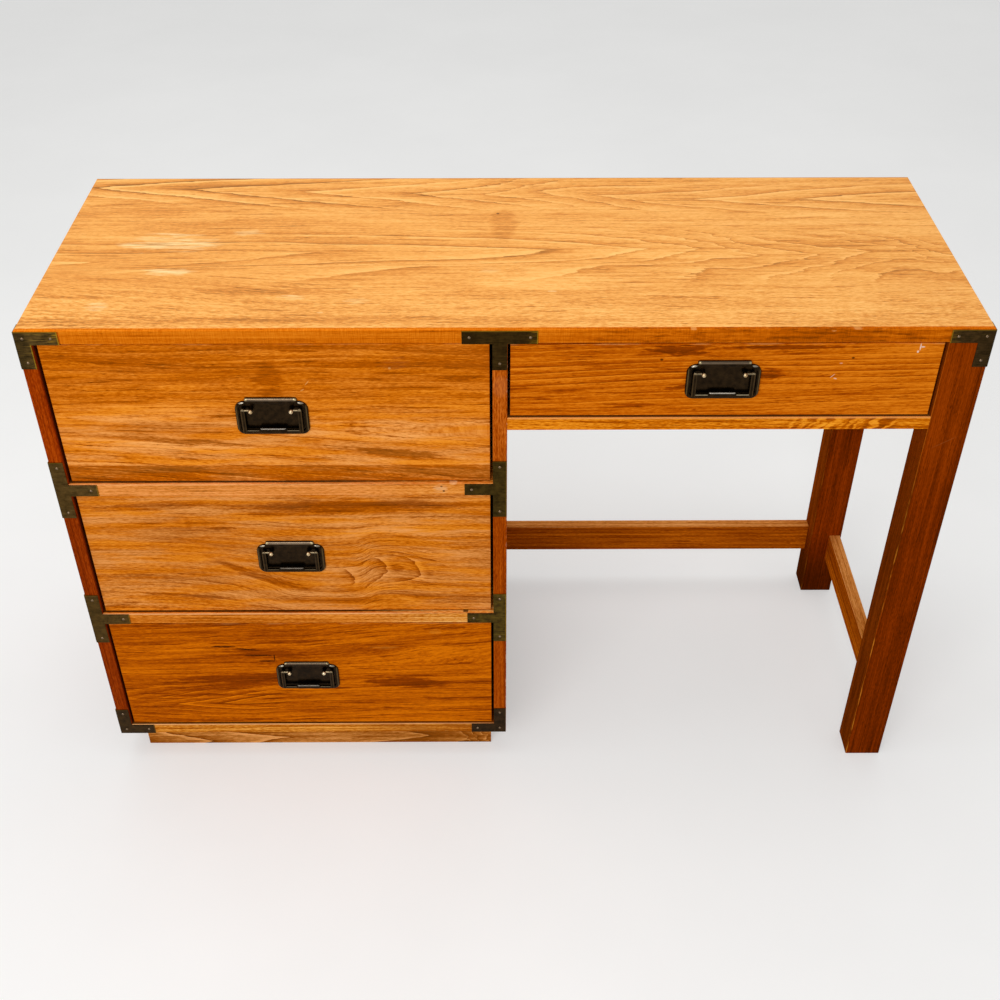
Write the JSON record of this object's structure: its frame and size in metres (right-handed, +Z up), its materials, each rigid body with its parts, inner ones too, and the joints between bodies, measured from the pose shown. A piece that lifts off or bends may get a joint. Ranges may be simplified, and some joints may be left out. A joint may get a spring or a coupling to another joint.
{
  "type": "campaign desk",
  "caption": "Pedestal writing desk with a knee drawer on two square legs, low stretchers, recessed plinth, brass corner straps and recessed bail pulls.",
  "frame": {"origin": "on the floor, in the middle of everything the desk reaches across and from front to back", "axes": "+X to the right seen from the front, +Y to the back, +Z up; the drawers open towards -Y"},
  "size_m": [1.2216, 0.4476, 0.8001],
  "materials": {
    "top_veneer": "honey-brown figured veneer, satin, lightly worn",
    "edging_wood": "orange-brown hardwood, satin, worn arrises",
    "drawer_front_wood": "orange-brown straight and swirled grain, satin",
    "frame_wood": "red-brown hardwood, satin",
    "plinth_wood": "pale tan hardwood, dull",
    "inner_wood": "plain secondary wood, bare",
    "drawer_box_wood": "plain secondary wood, bare",
    "panel_wood": "thin plywood, bare",
    "strap_brass": "aged brass, dark olive patina with rubbed edges",
    "brad_brass": "small domed brads, rubbed crowns",
    "pull_bronze": "aged bronzed brass, dark",
    "post_brass": "bronzed brass, rubbed heads"
  },
  "bodies": {
    "case": {"desk_top": "top_veneer", "top_front_edging": "edging_wood", "front_stiles": "frame_wood", "side_panel": "frame_wood", "centre_divider": "frame_wood", "pedestal_back": "panel_wood", "pedestal_bottom": "inner_wood", "bottom_rail": "edging_wood", "lower_rail": "edging_wood", "upper_rail": "edging_wood", "knee_rail": "edging_wood", "back_apron": "frame_wood", "side_apron": "frame_wood", "front_leg": "frame_wood", "back_leg": "frame_wood", "back_stretcher": "frame_wood", "side_stretcher": "frame_wood", "plinth_front": "plinth_wood", "plinth_frame": "plinth_wood", "pedestal_runners": "inner_wood", "knee_runners": "inner_wood", "centre_guides": "inner_wood", "top_left_bracket": "strap_brass", "top_centre_bracket": "strap_brass", "top_right_bracket": "strap_brass", "upper_left_bracket": "strap_brass", "upper_centre_bracket": "strap_brass", "lower_left_bracket": "strap_brass", "lower_centre_bracket": "strap_brass", "bottom_left_bracket": "strap_brass", "bottom_centre_bracket": "strap_brass", "bracket_brads": "brad_brass"},
    "top_drawer": {"top_drawer_front": "drawer_front_wood", "top_drawer_sides": "drawer_box_wood", "top_drawer_back": "drawer_box_wood", "top_drawer_bottom": "panel_wood", "top_drawer_pull_plate": "pull_bronze", "top_drawer_pull_posts": "post_brass"},
    "top_bail": {"top_drawer_bail": "pull_bronze"},
    "middle_drawer": {"middle_drawer_front": "drawer_front_wood", "middle_drawer_sides": "drawer_box_wood", "middle_drawer_back": "drawer_box_wood", "middle_drawer_bottom": "panel_wood", "middle_drawer_pull_plate": "pull_bronze", "middle_drawer_pull_posts": "post_brass"},
    "middle_bail": {"middle_drawer_bail": "pull_bronze"},
    "bottom_drawer": {"bottom_drawer_front": "drawer_front_wood", "bottom_drawer_sides": "drawer_box_wood", "bottom_drawer_back": "drawer_box_wood", "bottom_drawer_bottom": "panel_wood", "bottom_drawer_pull_plate": "pull_bronze", "bottom_drawer_pull_posts": "post_brass"},
    "bottom_bail": {"bottom_drawer_bail": "pull_bronze"},
    "knee_drawer": {"knee_drawer_front": "drawer_front_wood", "knee_drawer_sides": "drawer_box_wood", "knee_drawer_back": "drawer_box_wood", "knee_drawer_bottom": "panel_wood", "knee_drawer_pull_plate": "pull_bronze", "knee_drawer_pull_posts": "post_brass"},
    "knee_bail": {"knee_drawer_bail": "pull_bronze"}
  },
  "joints": [
    {"name": "top_drawer_slide", "type": "slide", "parent": "case", "child": "top_drawer", "axis": [0, -1, 0], "range_m": [0, 0.3]},
    {"name": "top_bail_swing", "type": "hinge", "parent": "top_drawer", "child": "top_bail", "pos_m": [-0.3033, -0.21482, 0.68035], "axis": [-1, 0, 0], "range_deg": [0, 85]},
    {"name": "middle_drawer_slide", "type": "slide", "parent": "case", "child": "middle_drawer", "axis": [0, -1, 0], "range_m": [0, 0.3]},
    {"name": "middle_bail_swing", "type": "hinge", "parent": "middle_drawer", "child": "middle_bail", "pos_m": [-0.3033, -0.21482, 0.43665], "axis": [-1, 0, 0], "range_deg": [0, 85]},
    {"name": "bottom_drawer_slide", "type": "slide", "parent": "case", "child": "bottom_drawer", "axis": [0, -1, 0], "range_m": [0, 0.3]},
    {"name": "bottom_bail_swing", "type": "hinge", "parent": "bottom_drawer", "child": "bottom_bail", "pos_m": [-0.3014, -0.21782, 0.19775], "axis": [-1, 0, 0], "range_deg": [0, 85]},
    {"name": "knee_drawer_slide", "type": "slide", "parent": "case", "child": "knee_drawer", "axis": [0, -1, 0], "range_m": [0, 0.3]},
    {"name": "knee_bail_swing", "type": "hinge", "parent": "knee_drawer", "child": "knee_bail", "pos_m": [0.27841, -0.21682, 0.73612], "axis": [-1, 0, 0], "range_deg": [0, 85]}
  ]
}
